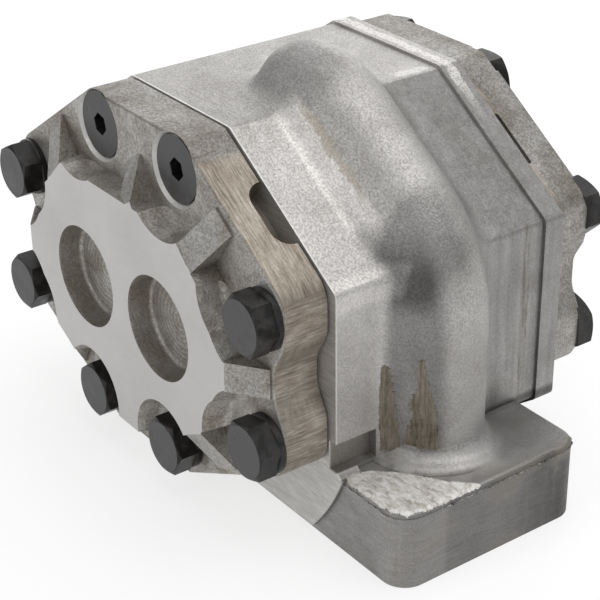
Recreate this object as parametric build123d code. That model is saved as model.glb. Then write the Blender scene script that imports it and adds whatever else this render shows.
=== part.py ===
from build123d import *
from math import acos, atan2, cos, hypot, pi, radians, sin, sqrt, tan
import os

# External gear pump with a foot mount: a cast aluminium body between two cast covers, two meshing
# gear shafts in bearing blocks, and a cored passage that runs over the body's shoulder to the foot.
#
# The pieces are modelled with X to the right of the front cover, Y along the shafts from the front
# cover to the drive end, and Z up.  The working origin lies midway between the two gear axes, in
# the joint between front cover and body.  At export everything is moved so that the origin is the
# centre of the foot's mounting face.  All sizes are in millimetres.

# ---------------------------------------------------------------- gears and shafts
CENTRE_DISTANCE = 40.6
GEAR_TEETH = 10
GEAR_WIDTH = 38.0
PRESSURE_ANGLE = 28.0           # at the running pitch circle
ADDENDUM = 3.8
DEDENDUM = 4.4
BACKLASH = 0.12
JOURNAL_RADIUS = 12.0
SHAFT_END_RADIUS = 11.11        # seven-eighths of an inch, for the coupling
SHAFT_OUTSIDE_LENGTH = 34.0     # beyond the rear cover's flat face
SHAFT_END_CHAMFER = 1.2
SHAFT_STEP = 0.8                # the sealed diameter ends this far outside the seal boss
KEYWAY_WIDTH = 6.35
KEYWAY_LENGTH = 20.0
KEYWAY_END_GAP = 2.0
KEYWAY_TURN = 36.0              # from straight up, at rest
CENTRE_DRILL_RADIUS = 2.5

# ---------------------------------------------------------------- running and seating clearances
TIP_CLEARANCE = 0.05
SIDE_CLEARANCE = 0.05
BUSH_CLEARANCE = 0.03
PRESSED_GAP = 0.02
BLOCK_CLEARANCE = 0.03
BOLT_CLEARANCE = 0.5            # radius, in the covers
THREAD_GAP = 0.05               # radius, shank to the tapped wall
SEAL_GAP = 0.05

# ---------------------------------------------------------------- bearing blocks, bushes, seals
BUSH_WALL = 1.5
BUSH_LENGTH = 19.0
BLOCK_SEAL_WIDTH = 2.4
BLOCK_SEAL_HEIGHT = 2.2
BLOCK_SEAL_OFFSET = 3.2         # seal's outer edge inside the block's rim
RELIEF_DEPTH = 2.0
FACE_SEAL_WIDTH = 2.8
FACE_SEAL_HEIGHT = 2.4
FACE_SEAL_OFFSET = 3.2          # seal's inner edge outside the gear chamber

# ---------------------------------------------------------------- body casting
BODY_LENGTH = 81.6
BODY_TOP_HALF = 25.4
BODY_TOP = 57.3
BODY_SIDE = 73.2
BODY_SHOULDER = 25.2
BODY_SKIRT = -33.1
BODY_BOTTOM = -54.4
BODY_BOTTOM_HALF = 44.5
REAR_RIM_LENGTH = 7.0
REAR_RIM_HEIGHT = 0.9
FACED_RADIUS = 82.4             # turned circle of the front joint face
FACED_SIDE = 75.2

# ---------------------------------------------------------------- foot and its mounting face
PAD_LEFT = -40.0
PAD_RIGHT = 100.4
FOOT_FRONT = 1.3
FOOT_REAR = 68.2
FOOT_TOP = -31.7
PAD_FACE = -56.0
FOOT_CORNER = 7.5
FOOT_EDGE = 1.6
FOOT_BOLT_SPACING_X = 70.0
FOOT_BOLT_SPACING_Y = 49.0
FOOT_THREAD_RADIUS = 4.25
FOOT_THREAD_DEPTH = 18.0
SUCTION_RADIUS = 12.0
SUCTION_BORE_LENGTH = 18.0
SUCTION_CORE_X = 28.0           # cored space between the suction bore and the gears
SUCTION_CORE_Y = 26.0
SUCTION_CORE_CORNER = 6.0
PRESSURE_RADIUS = 9.5
PORT_RING_WIDTH = 3.4
PORT_RING_HEIGHT = 2.5
PORT_RING_OFFSET = 2.2
RING_PROUD_GAP = 0.1            # the rings lie this far below the mounting face

# ---------------------------------------------------------------- cored passage over the shoulder
RIDGE_RADIUS = 15.4
RIDGE_DEPTH = 1.5               # axis of the ridge below the body's skin
RIDGE_START = 15.0
RIDGE_BLEND = 10.0
RIDGE_TOP_BEND = 26.0            # these two are cut short where their runs are too short
RIDGE_SIDE_BEND = 34.0
RIDGE_FOOT_BLEND = 6.0
PASSAGE_TOP = 44.0
PASSAGE_TOP_BEND = 16.0
OUTLET_WINDOW_DEPTH = 12.0

# ---------------------------------------------------------------- covers
FRONT_THICKNESS = 15.2
REAR_THICKNESS = 14.1
COVER_SIDE = 70.6
COVER_LOWER_SIDE = 70.2
COVER_SKIRT = -27.2
COVER_BOTTOM = -52.2
COVER_BOTTOM_HALF = 20.6
COVER_CORNER = 9.5
COVER_TOP_CORNER = 3.0
COVER_WAIST = 65.8
COVER_WAIST_HALF = 4.5
COVER_WAIST_REACH = 13.0        # half height over which the side is drawn in
COVER_WAIST_CORNER = 7.0
COVER_EDGE = 0.8
FRONT_SET_IN = 0.9              # the covers' slopes start this far inside the body's
REAR_SET_IN = 2.6
COVER_JOINT_EDGE = 0.7
PRY_SLOT_LENGTH = 20.8
PRY_SLOT_WIDTH = 6.4
REAR_PRY_SLOT_LENGTH = 19.0
REAR_PRY_SLOT_WIDTH = 3.5
PRY_SLOT_DEPTH = 8.0
REAR_SEAT_DEPTH = 1.2           # spot faces under the rear bolt heads

# ---------------------------------------------------------------- front cover's faced star
STAR_HEIGHT = 8.0
STAR_TOP = 34.5
STAR_TOP_HALF = 31.0
STAR_SIDE = 54.1
STAR_BOTTOM = -42.9
STAR_DRAFT = 6.0
SIDE_SCALLOP = 17.6
SIDE_SCALLOP_INNER = 15.4
SIDE_SCALLOP_SHIFT = (-5.8, 3.4)
TOP_SCALLOPS = [(-22.0, 48.0, 16.2), (24.0, 47.2, 17.6)]    # x, z and radius round each sunk screw
BOTTOM_SCALLOP = 14.7
SCALLOP_SLOPE = 2.0             # how much smaller a scallop is at its floor
SCALLOP_FILLET = 2.6
RECESS_RADIUS = 16.0
RECESS_DEPTH = 7.5
RECESS_DRAFT = 8.0
RECESS_FILLET = 1.6
RIB_WIDTH = 9.2
DIAGONAL_RIB_WIDTH = 9.2
CENTRE_RIB_WIDTH = 8.0

# ---------------------------------------------------------------- rear cover's seal boss
SEAL_BOSS_RADIUS = 25.0
SEAL_BOSS_HEIGHT = 6.4
SEAL_SECTION = 5.5               # between the sealed diameter and the seal's bore
SEAL_WIDTH = 7.0
SEAL_LIP_GAP = 0.02
SEAL_BORE_CLEARANCE = 0.6
RETAINER_WIRE = 1.6
RETAINER_SET_BACK = 2.2
REAR_RIB_HEIGHT = 4.0
REAR_RIB_WIDTH = 7.0

# ---------------------------------------------------------------- fasteners
BOLT_RADIUS = 5.0
BOLT_GRIP_DEPTH = 20.0          # thread engaged in the body
TAPPED_DEPTH = 23.0
HEX_FLATS = 16.0
HEX_HEIGHT = 6.4
HEX_CHAMFER_ANGLE = 30.0
WASHER_RADIUS = 8.9
WASHER_THICKNESS = 2.0
SUNK_HEAD_RADIUS = 10.0
SUNK_HEAD_HEIGHT = 5.5
SUNK_RIM = 0.6
SUNK_BELOW_FACE = 0.8
SOCKET_FLATS = 6.0
SOCKET_DEPTH = 3.6
SIDE_BOLT_X = 62.8
SIDE_BOLT_Z = 19.4
TOP_BOLT_X = 20.5
TOP_BOLT_Z = 47.0
BOTTOM_BOLT_X = 20.2
BOTTOM_BOLT_Z = -39.7
DOWEL_WALL = 2.55                # metal between a dowel and the joint seal
DOWEL_RADIUS = 3.0
DOWEL_HALF_LENGTH = 8.0
DOWEL_GAP = 0.02

# ---------------------------------------------------------------- sizes that follow from these
PITCH_RADIUS = CENTRE_DISTANCE / 2
TIP_RADIUS = PITCH_RADIUS + ADDENDUM
ROOT_RADIUS = PITCH_RADIUS - DEDENDUM
CHAMBER_RADIUS = TIP_RADIUS + TIP_CLEARANCE
GEAR_FRONT = (BODY_LENGTH - GEAR_WIDTH) / 2
GEAR_REAR = GEAR_FRONT + GEAR_WIDTH
BLOCK_LENGTH = GEAR_FRONT - SIDE_CLEARANCE - PRESSED_GAP
BUSH_RADIUS = JOURNAL_RADIUS + BUSH_CLEARANCE + BUSH_WALL
SEAL_RADIUS = JOURNAL_RADIUS + SEAL_SECTION
FRONT_FACE = -FRONT_THICKNESS
STAR_FACE = FRONT_FACE - STAR_HEIGHT
REAR_FACE = BODY_LENGTH + REAR_THICKNESS
BOSS_FACE = REAR_FACE + SEAL_BOSS_HEIGHT
PAD_CENTRE_X = (PAD_LEFT + PAD_RIGHT) / 2
PAD_CENTRE_Y = (FOOT_FRONT + FOOT_REAR) / 2
DRIVE_X = CENTRE_DISTANCE / 2
IDLER_X = -CENTRE_DISTANCE / 2
DOWEL_X = DRIVE_X + CHAMBER_RADIUS + FACE_SEAL_OFFSET + FACE_SEAL_WIDTH + DOWEL_WALL + DOWEL_RADIUS
TO_MOUNTING_FACE = Pos(-PAD_CENTRE_X, -PAD_CENTRE_Y, -PAD_FACE)

SIDE_BOLTS = [(sx * SIDE_BOLT_X, sz * SIDE_BOLT_Z) for sx in (-1, 1) for sz in (-1, 1)]
TOP_BOLTS = [(-TOP_BOLT_X, TOP_BOLT_Z), (TOP_BOLT_X, TOP_BOLT_Z)]
BOTTOM_BOLTS = [(-BOTTOM_BOLT_X, BOTTOM_BOLT_Z), (BOTTOM_BOLT_X, BOTTOM_BOLT_Z)]
ALL_BOLTS = SIDE_BOLTS + TOP_BOLTS + BOTTOM_BOLTS
DOWELS = [(-DOWEL_X, 0.0), (DOWEL_X, 0.0)]


# ---------------------------------------------------------------- helpers
def along_y(sketch, start, end):
    """Solid of a sketch drawn in X and Z, from y = start to y = end."""
    return extrude(Plane.XZ.offset(-start) * sketch, amount=-(end - start))


def rod(x, z, radius, start, end):
    """Round bar along Y."""
    return along_y(Pos(x, z) * Circle(radius), start, end)


def cone_along_y(x, z, start_radius, start, end_radius, end):
    """Truncated cone along Y, with start_radius at y = start."""
    profile = make_face(Polyline((0, start), (start_radius, start), (end_radius, end), (0, end), close=True))
    return Pos(x, 0, z) * revolve(profile, Axis.Y)


def polygon(points):
    return make_face(Polyline(*points, close=True))


def pair_ring(radius):
    """Outline round both gear axes: two circles joined by their common tangents."""
    outline = Pos(DRIVE_X, 0) * Circle(radius) + Pos(IDLER_X, 0) * Circle(radius)
    return outline + Rectangle(CENTRE_DISTANCE, 2 * radius)


def twin_circles(radius):
    return Pos(DRIVE_X, 0) * Circle(radius) + Pos(IDLER_X, 0) * Circle(radius)


# ---------------------------------------------------------------- gear teeth
def involute_angle(angle):
    return tan(angle) - angle


def gear_outline(first_tooth_angle):
    """Involute gear outline, conjugate at the running centre distance."""
    pressure = radians(PRESSURE_ANGLE)
    base = PITCH_RADIUS * cos(pressure)
    half_at_pitch = (pi * PITCH_RADIUS / GEAR_TEETH - BACKLASH / 2) / (2 * PITCH_RADIUS)

    def half_angle(radius):
        return half_at_pitch + involute_angle(pressure) - involute_angle(acos(min(1.0, base / radius)))

    def polar(radius, angle):
        return (radius * cos(angle), radius * sin(angle))

    flank_steps = 5
    flank_radii = [base + (TIP_RADIUS - base) * (step / flank_steps) ** 1.5 for step in range(flank_steps + 1)]
    edges = []
    for tooth in range(GEAR_TEETH):
        middle = radians(first_tooth_angle) + 2 * pi * tooth / GEAR_TEETH
        next_middle = middle + 2 * pi / GEAR_TEETH
        right = [polar(radius, middle - half_angle(radius)) for radius in flank_radii]
        left = [polar(radius, middle + half_angle(radius)) for radius in reversed(flank_radii)]
        root_right = polar(ROOT_RADIUS, middle - half_angle(base))
        root_left = polar(ROOT_RADIUS, middle + half_angle(base))
        root_next = polar(ROOT_RADIUS, next_middle - half_angle(base))
        edges.append(Line(root_right, right[0]))
        edges.append(Spline(*right))
        edges.append(ThreePointArc(right[-1], polar(TIP_RADIUS, middle), left[0]))
        edges.append(Spline(*left))
        edges.append(Line(left[-1], root_left))
        edges.append(ThreePointArc(root_left, polar(ROOT_RADIUS, (middle + next_middle) / 2), root_next))
    return make_face(edges)


def gear_with_journals(x, first_tooth_angle, front_end, rear_end):
    teeth = along_y(gear_outline(first_tooth_angle), GEAR_FRONT, GEAR_REAR)
    front = rod(0, 0, JOURNAL_RADIUS, front_end, GEAR_FRONT + 1)
    rear = rod(0, 0, JOURNAL_RADIUS, GEAR_REAR - 1, rear_end)
    front = chamfer(front.edges().group_by(Axis.Y)[0], 1.0)
    rear = chamfer(rear.edges().group_by(Axis.Y)[-1], 1.0)
    return Pos(x, 0, 0) * (teeth + front + rear)


def drive_gear_shaft():
    shaft_end = REAR_FACE + SHAFT_OUTSIDE_LENGTH
    shaft = gear_with_journals(0, 0.0, 2.0, BOSS_FACE + SHAFT_STEP)
    tail = rod(0, 0, SHAFT_END_RADIUS, BOSS_FACE, shaft_end)
    tail = chamfer(tail.edges().group_by(Axis.Y)[-1], SHAFT_END_CHAMFER)
    shaft += tail
    keyway_middle = shaft_end - KEYWAY_END_GAP - KEYWAY_LENGTH / 2
    keyway = Pos(0, keyway_middle, SHAFT_END_RADIUS) * Box(KEYWAY_WIDTH, KEYWAY_LENGTH, KEYWAY_WIDTH)
    shaft -= Rot(0, KEYWAY_TURN, 0) * keyway
    shaft -= cone_along_y(0, 0, 0.01, shaft_end - 4.5, CENTRE_DRILL_RADIUS, shaft_end + 0.01)
    return Pos(DRIVE_X, 0, 0) * shaft


def idler_gear_shaft():
    half_pitch = 180.0 / GEAR_TEETH
    return gear_with_journals(IDLER_X, half_pitch, 2.0, BODY_LENGTH - 2.0)


# ---------------------------------------------------------------- bearing blocks and what they hold
def block_seal_outline(inset, width):
    """Band that follows the rim of the block's two circles, like a figure three lying down."""
    outer = twin_circles(CHAMBER_RADIUS - BLOCK_CLEARANCE - inset)
    inner = twin_circles(CHAMBER_RADIUS - BLOCK_CLEARANCE - inset - width)
    return outer - inner


def bearing_block(cover_side):
    """Aluminium block with both bores; cover_side is -1 for the front and 1 for the rear."""
    outline = twin_circles(CHAMBER_RADIUS - BLOCK_CLEARANCE)
    block = along_y(outline, 0, BLOCK_LENGTH)
    for x in (DRIVE_X, IDLER_X):
        block -= rod(x, 0, BUSH_RADIUS + PRESSED_GAP, -1, BLOCK_LENGTH + 1)
    groove = block_seal_outline(BLOCK_SEAL_OFFSET - SEAL_GAP, BLOCK_SEAL_WIDTH + 2 * SEAL_GAP)
    block -= along_y(groove, -0.01, BLOCK_SEAL_HEIGHT + SEAL_GAP)
    for z in (-1, 1):
        pocket = Pos(0, BLOCK_LENGTH - RELIEF_DEPTH / 2, z * 10.0) * Box(7.0, RELIEF_DEPTH + 0.02, 9.0)
        block -= pocket
    return place_block_piece(block, cover_side)


def place_block_piece(piece, cover_side):
    """Blocks are drawn with their cover side at y = 0, and turned round for the rear."""
    if cover_side < 0:
        return Pos(0, PRESSED_GAP, 0) * piece
    return Pos(0, BODY_LENGTH - PRESSED_GAP, 0) * (Rot(0, 0, 180) * piece)


def block_seal(cover_side):
    seal = along_y(block_seal_outline(BLOCK_SEAL_OFFSET, BLOCK_SEAL_WIDTH), 0, BLOCK_SEAL_HEIGHT)
    return place_block_piece(seal, cover_side)


def bush(x, cover_side):
    """Rolled bearing bush, pressed into the block until it is just under the gear side."""
    outline = Circle(BUSH_RADIUS) - Circle(JOURNAL_RADIUS + BUSH_CLEARANCE)
    sleeve = along_y(outline, BLOCK_LENGTH - BUSH_LENGTH - 0.5, BLOCK_LENGTH - 0.5)
    sleeve = chamfer(sleeve.edges().filter_by(GeomType.CIRCLE).group_by(SortBy.RADIUS)[-1], 0.4)
    piece_x = x if cover_side < 0 else -x
    return place_block_piece(Pos(piece_x, 0, 0) * sleeve, cover_side)


def face_seal(joint, direction):
    """Seal in the body's end face, round the gear chamber."""
    inner = CHAMBER_RADIUS + FACE_SEAL_OFFSET
    ring = pair_ring(inner + FACE_SEAL_WIDTH) - pair_ring(inner)
    depth = FACE_SEAL_HEIGHT
    solid = along_y(ring, 0, depth) if direction > 0 else along_y(ring, -depth, 0)
    solid = chamfer(solid.edges().filter_by(Plane.XZ), 0.5)
    return Pos(0, joint, 0) * solid


def face_seal_groove(joint, direction):
    inner = CHAMBER_RADIUS + FACE_SEAL_OFFSET - SEAL_GAP
    ring = pair_ring(inner + FACE_SEAL_WIDTH + 2 * SEAL_GAP) - pair_ring(inner)
    depth = FACE_SEAL_HEIGHT + SEAL_GAP
    solid = along_y(ring, -0.01, depth) if direction > 0 else along_y(ring, -depth, 0.01)
    return Pos(0, joint, 0) * solid


# ---------------------------------------------------------------- body casting
def body_outline(grow):
    points = [
        (-BODY_TOP_HALF, BODY_TOP), (BODY_TOP_HALF, BODY_TOP), (BODY_SIDE, BODY_SHOULDER),
        (BODY_SIDE, BODY_SKIRT), (BODY_BOTTOM_HALF, BODY_BOTTOM), (-BODY_BOTTOM_HALF, BODY_BOTTOM),
        (-BODY_SIDE, BODY_SKIRT), (-BODY_SIDE, BODY_SHOULDER),
    ]
    outline = polygon(points)
    if grow > 0:
        outline = offset(outline, grow, kind=Kind.INTERSECTION)
    return fillet(outline.vertices(), 2.5)


def ridge_points():
    """Corners of the ridge's axis, in X and Z, from the crown down to the foot."""
    slope = hypot(BODY_SIDE - BODY_TOP_HALF, BODY_TOP - BODY_SHOULDER)
    inward_x = -RIDGE_DEPTH * (BODY_TOP - BODY_SHOULDER) / slope
    corner_x = BODY_TOP_HALF + inward_x
    side_x = BODY_SIDE - RIDGE_DEPTH / 2
    return [
        (RIDGE_START, BODY_TOP - RIDGE_DEPTH), (corner_x, BODY_TOP - RIDGE_DEPTH),
        (side_x, BODY_SHOULDER - RIDGE_DEPTH / 2), (side_x, FOOT_TOP - 2.0),
    ]


def bent_path(route, bends):
    """Path through points in X and Z, with each corner bent as wide as wanted, or as its runs allow."""
    radii = []
    for before, corner, after, wanted in zip(route, route[1:], route[2:], bends):
        runs = [(corner[0] - before[0], corner[1] - before[1]), (after[0] - corner[0], after[1] - corner[1])]
        turn = abs(atan2(runs[1][1], runs[1][0]) - atan2(runs[0][1], runs[0][0]))
        shortest = min(hypot(*run) / (1 if end in (route[0], route[-1]) else 2) for run, end in zip(runs, (before, after)))
        radii.append(min(wanted, 0.9 * shortest / tan(turn / 2)))
    return FilletPolyline(*[(x, PAD_CENTRE_Y, z) for x, z in route], radius=radii)


def ridge():
    """Round bar that stands proud of the skin over the cored passage, from the crown to the foot."""
    corners = [(x, PAD_CENTRE_Y, z) for x, z in ridge_points()]
    path = bent_path(ridge_points(), [RIDGE_TOP_BEND, RIDGE_SIDE_BEND])
    start = Plane(origin=corners[0], x_dir=(0, 1, 0), z_dir=(1, 0, 0))
    bar = sweep(start * Circle(RIDGE_RADIUS), path=path)
    return bar + Pos(*corners[0]) * Sphere(RIDGE_RADIUS)


def blend_ridge(casting):
    """Wide cast fillet where the ridge grows out of the top, the slope and the side."""
    def in_the_valley(edge):
        middle = edge @ 0.5
        reach = abs((edge @ 0).Y - (edge @ 1).Y)
        beside = abs(middle.Y - PAD_CENTRE_Y) < RIDGE_RADIUS + 1
        return beside and reach < RIDGE_RADIUS + 5 and middle.X > -2 and middle.Z > BODY_BOTTOM + 2

    return fillet([edge for edge in casting.edges() if in_the_valley(edge)], RIDGE_BLEND)


def ridge_foot():
    """Flared root where the ridge runs down on to the foot."""
    top = FOOT_TOP + RIDGE_FOOT_BLEND
    rim = RIDGE_RADIUS + RIDGE_FOOT_BLEND
    slant = RIDGE_FOOT_BLEND * (1 - sqrt(0.5))
    outline = [
        Line((0, FOOT_TOP - 2), (rim, FOOT_TOP - 2)), Line((rim, FOOT_TOP - 2), (rim, FOOT_TOP)),
        ThreePointArc((rim, FOOT_TOP), (RIDGE_RADIUS + slant, FOOT_TOP + slant), (RIDGE_RADIUS, top)),
        Line((RIDGE_RADIUS, top), (0, top)), Line((0, top), (0, FOOT_TOP - 2)),
    ]
    flare = revolve(Plane.XZ * make_face(outline), Axis.Z)
    return Pos(ridge_points()[-1][0], PAD_CENTRE_Y, 0) * flare


def passage():
    """Cored pressure passage: out of the chamber's crown, over the shoulder and down to the foot."""
    corners = ridge_points()
    side_x = corners[-1][0]
    route = [(0.0, PASSAGE_TOP), corners[1], corners[2], (side_x, PAD_FACE - 1.0)]
    path = bent_path(route, [PASSAGE_TOP_BEND, RIDGE_SIDE_BEND])
    first = route[0]
    second = route[1]
    start = Plane(
        origin=(first[0], PAD_CENTRE_Y, first[1]), x_dir=(0, 1, 0),
        z_dir=(second[0] - first[0], 0, second[1] - first[1]),
    )
    bore = sweep(start * Circle(PRESSURE_RADIUS), path=path)
    bore += Pos(0, PAD_CENTRE_Y, PASSAGE_TOP) * Sphere(PRESSURE_RADIUS)
    riser_height = PASSAGE_TOP - OUTLET_WINDOW_DEPTH
    bore += Pos(0, PAD_CENTRE_Y, OUTLET_WINDOW_DEPTH + riser_height / 2) * Cylinder(PRESSURE_RADIUS, riser_height)
    return bore


def suction_passage():
    """Bored inlet in the foot, which opens into a cored space under the gears' mesh."""
    bore = extrude(Pos(0, PAD_CENTRE_Y, PAD_FACE - 1.0) * Circle(SUCTION_RADIUS), SUCTION_BORE_LENGTH + 2.0)
    core_floor = PAD_FACE + SUCTION_BORE_LENGTH
    outline = RectangleRounded(SUCTION_CORE_X, SUCTION_CORE_Y, SUCTION_CORE_CORNER)
    core = extrude(Pos(0, PAD_CENTRE_Y, core_floor) * outline, -OUTLET_WINDOW_DEPTH - core_floor)
    return bore + core


def foot():
    width = PAD_RIGHT - PAD_LEFT
    depth = FOOT_REAR - FOOT_FRONT
    height = FOOT_TOP - PAD_FACE
    block = extrude(Pos(PAD_CENTRE_X, PAD_CENTRE_Y, PAD_FACE) * RectangleRounded(width, depth, FOOT_CORNER), height)
    return fillet(block.edges().group_by(Axis.Z)[-1], FOOT_EDGE)


def port_rings():
    """Centre and bore of each port in the mounting face."""
    return [(0.0, SUCTION_RADIUS), (ridge_points()[-1][0], PRESSURE_RADIUS)]


def port_ring(x, bore, width, height, clearance):
    inner = bore + PORT_RING_OFFSET - clearance
    ring = Circle(inner + width + 2 * clearance) - Circle(inner)
    return extrude(Pos(x, PAD_CENTRE_Y, PAD_FACE) * ring, height)


def foot_bolt_places():
    return [
        (PAD_CENTRE_X + sx * FOOT_BOLT_SPACING_X / 2, PAD_CENTRE_Y + sy * FOOT_BOLT_SPACING_Y / 2)
        for sx in (-1, 1) for sy in (-1, 1)
    ]


def pump_body():
    body = blend_ridge(along_y(body_outline(0), 0, BODY_LENGTH) + ridge())
    body += along_y(body_outline(REAR_RIM_HEIGHT), BODY_LENGTH - REAR_RIM_LENGTH, BODY_LENGTH)
    body += foot()
    body += ridge_foot()
    skirt = polygon([(0, BODY_BOTTOM), (FACED_SIDE + 8, BODY_BOTTOM), (FACED_SIDE + 8, FOOT_TOP),
                     (FACED_SIDE, FOOT_TOP), (FACED_SIDE - 2.0, FOOT_TOP + 1.5), (0, FOOT_TOP + 1.5)])
    body += along_y(skirt & Circle(FACED_RADIUS), 0, FOOT_FRONT + 6.0)
    body -= along_y(twin_circles(CHAMBER_RADIUS), -1, BODY_LENGTH + 1)
    body -= passage()
    body -= suction_passage()
    for joint, direction in ((0, 1), (BODY_LENGTH, -1)):
        body -= face_seal_groove(joint, direction)
        for x, z in ALL_BOLTS:
            body -= rod(x, z, BOLT_RADIUS + THREAD_GAP, *sorted((joint, joint + direction * TAPPED_DEPTH)))
        for x, z in DOWELS:
            depth = DOWEL_HALF_LENGTH + 0.3
            body -= rod(x, z, DOWEL_RADIUS + DOWEL_GAP, *sorted((joint, joint + direction * depth)))
    for x, y in foot_bolt_places():
        hole = Pos(x, y, PAD_FACE + FOOT_THREAD_DEPTH / 2) * Cylinder(FOOT_THREAD_RADIUS, FOOT_THREAD_DEPTH)
        body -= hole
    for x, bore in port_rings():
        body -= port_ring(x, bore, PORT_RING_WIDTH, PORT_RING_HEIGHT + RING_PROUD_GAP + SEAL_GAP, SEAL_GAP)
    pocket = Pos(BODY_SIDE, 7.0, FOOT_TOP + 6.0) * Box(6.0, 14.1, 9.4)
    body -= pocket
    return body


def port_seal(x, bore):
    ring = port_ring(x, bore, PORT_RING_WIDTH, PORT_RING_HEIGHT, 0.0)
    ring = chamfer(ring.edges(), 0.6)
    return Pos(0, 0, RING_PROUD_GAP) * ring


# ---------------------------------------------------------------- covers
def cover_outline(set_in):
    """Both covers share this outline: just inside the body's slopes, drawn in between the side bolts."""
    drop = (BODY_TOP - BODY_SHOULDER) / (BODY_SIDE - BODY_TOP_HALF)
    top_half = BODY_TOP_HALF - set_in
    shoulder = BODY_TOP - (COVER_SIDE - top_half) * drop
    half = [
        (top_half, BODY_TOP - 0.2), (COVER_SIDE, shoulder), (COVER_SIDE, COVER_WAIST_REACH),
        (COVER_WAIST, COVER_WAIST_HALF), (COVER_WAIST, -COVER_WAIST_HALF),
        (COVER_LOWER_SIDE, -COVER_WAIST_REACH), (COVER_LOWER_SIDE, COVER_SKIRT),
        (COVER_BOTTOM_HALF, COVER_BOTTOM),
    ]
    outline = polygon(half + [(-x, z) for x, z in reversed(half)])
    outline = fillet([v for v in outline.vertices() if v.Y > BODY_TOP - 2], COVER_TOP_CORNER)
    corners = [v for v in outline.vertices() if abs(v.Y) > COVER_WAIST_REACH + 1 and abs(v.X) > COVER_WAIST]
    outline = fillet(corners, COVER_CORNER)
    waist = [v for v in outline.vertices() if abs(v.Y) < COVER_WAIST_REACH + 0.5 and abs(v.X) > COVER_WAIST - 1]
    return fillet(waist, COVER_WAIST_CORNER)


def pry_slot(side, joint, direction, length, width, corner):
    """Slot for a pry bar, in the middle of the upper slope, open to the joint."""
    middle_x = (BODY_TOP_HALF + BODY_SIDE) / 2
    middle_z = (BODY_TOP + BODY_SHOULDER) / 2
    slope = hypot(BODY_SIDE - BODY_TOP_HALF, BODY_SHOULDER - BODY_TOP)
    run = ((BODY_SIDE - BODY_TOP_HALF) / slope, (BODY_SHOULDER - BODY_TOP) / slope)
    up = Plane(origin=(middle_x, joint, middle_z), x_dir=(run[0], 0, run[1]), z_dir=(-run[1], 0, run[0]))
    beyond = 1.0 if direction > 0 else -1.0
    away = 1.0 if up.y_dir.Y * beyond > 0 else -1.0
    mouth = Pos(0, away * (width / 2 - corner / 2)) * RectangleRounded(length, width + corner, corner * 0.98)
    cutter = extrude(up * mouth, PRY_SLOT_DEPTH, both=True)
    cutter &= Pos(0, joint + beyond * width / 2, 0) * Box(400, width + 0.02, 400)
    return mirror(cutter, Plane.YZ) if side < 0 else cutter


def star_outline():
    half = [
        (STAR_TOP_HALF, STAR_TOP), (40.0, 25.8), (STAR_SIDE, 14.0), (STAR_SIDE, -16.0),
        (41.5, -25.0), (26.0, -34.5), (16.0, STAR_BOTTOM),
    ]
    return polygon(half + [(-x, z) for x, z in reversed(half)])


def scallop(x, z, radius):
    """Conical clearance round a fastener, from the star's face down to the pad level."""
    reach = 3.0
    extra = SCALLOP_SLOPE / STAR_HEIGHT * reach
    cone = cone_along_y(x, z, radius + extra, STAR_FACE - reach, radius - SCALLOP_SLOPE, FRONT_FACE)
    return fillet(cone.edges().group_by(Axis.Y)[-1], SCALLOP_FILLET)


def rib(inner, outer, width, outer_level):
    """Sloping rib from the star's face out to the cover's rim."""
    length = hypot(outer[0] - inner[0], outer[1] - inner[1])
    run = ((outer[0] - inner[0]) / length, (outer[1] - inner[1]) / length)
    side_plane = Plane(
        origin=(inner[0], STAR_FACE, inner[1]), x_dir=(run[0], 0, run[1]), z_dir=(-run[1], 0, run[0]),
    )
    down = 1 if side_plane.y_dir.Y > 0 else -1
    floor = down * (FRONT_FACE + 1.0 - STAR_FACE)
    lip = down * (outer_level - STAR_FACE)
    profile = polygon([(-8.0, 0), (0, 0), (length, lip), (length, floor), (-8.0, floor)])
    return extrude(side_plane * profile, width / 2, both=True)


def front_ribs():
    ribs = []
    for side in (-1, 1):
        ribs.append(rib((side * STAR_SIDE, 0), (side * (COVER_WAIST - 1.0), 0), RIB_WIDTH, FRONT_FACE - 0.6))
        ribs.append(rib((side * 35.8, 28.3), (side * 45.0, 40.8), DIAGONAL_RIB_WIDTH, FRONT_FACE - 0.8))
        ribs.append(rib((side * 37.0, -27.0), (side * 43.0, -38.6), RIB_WIDTH, FRONT_FACE - 0.6))
    ribs.append(rib((5.6, 33.4), (-0.6, 44.0), CENTRE_RIB_WIDTH, FRONT_FACE))
    return ribs


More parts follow.
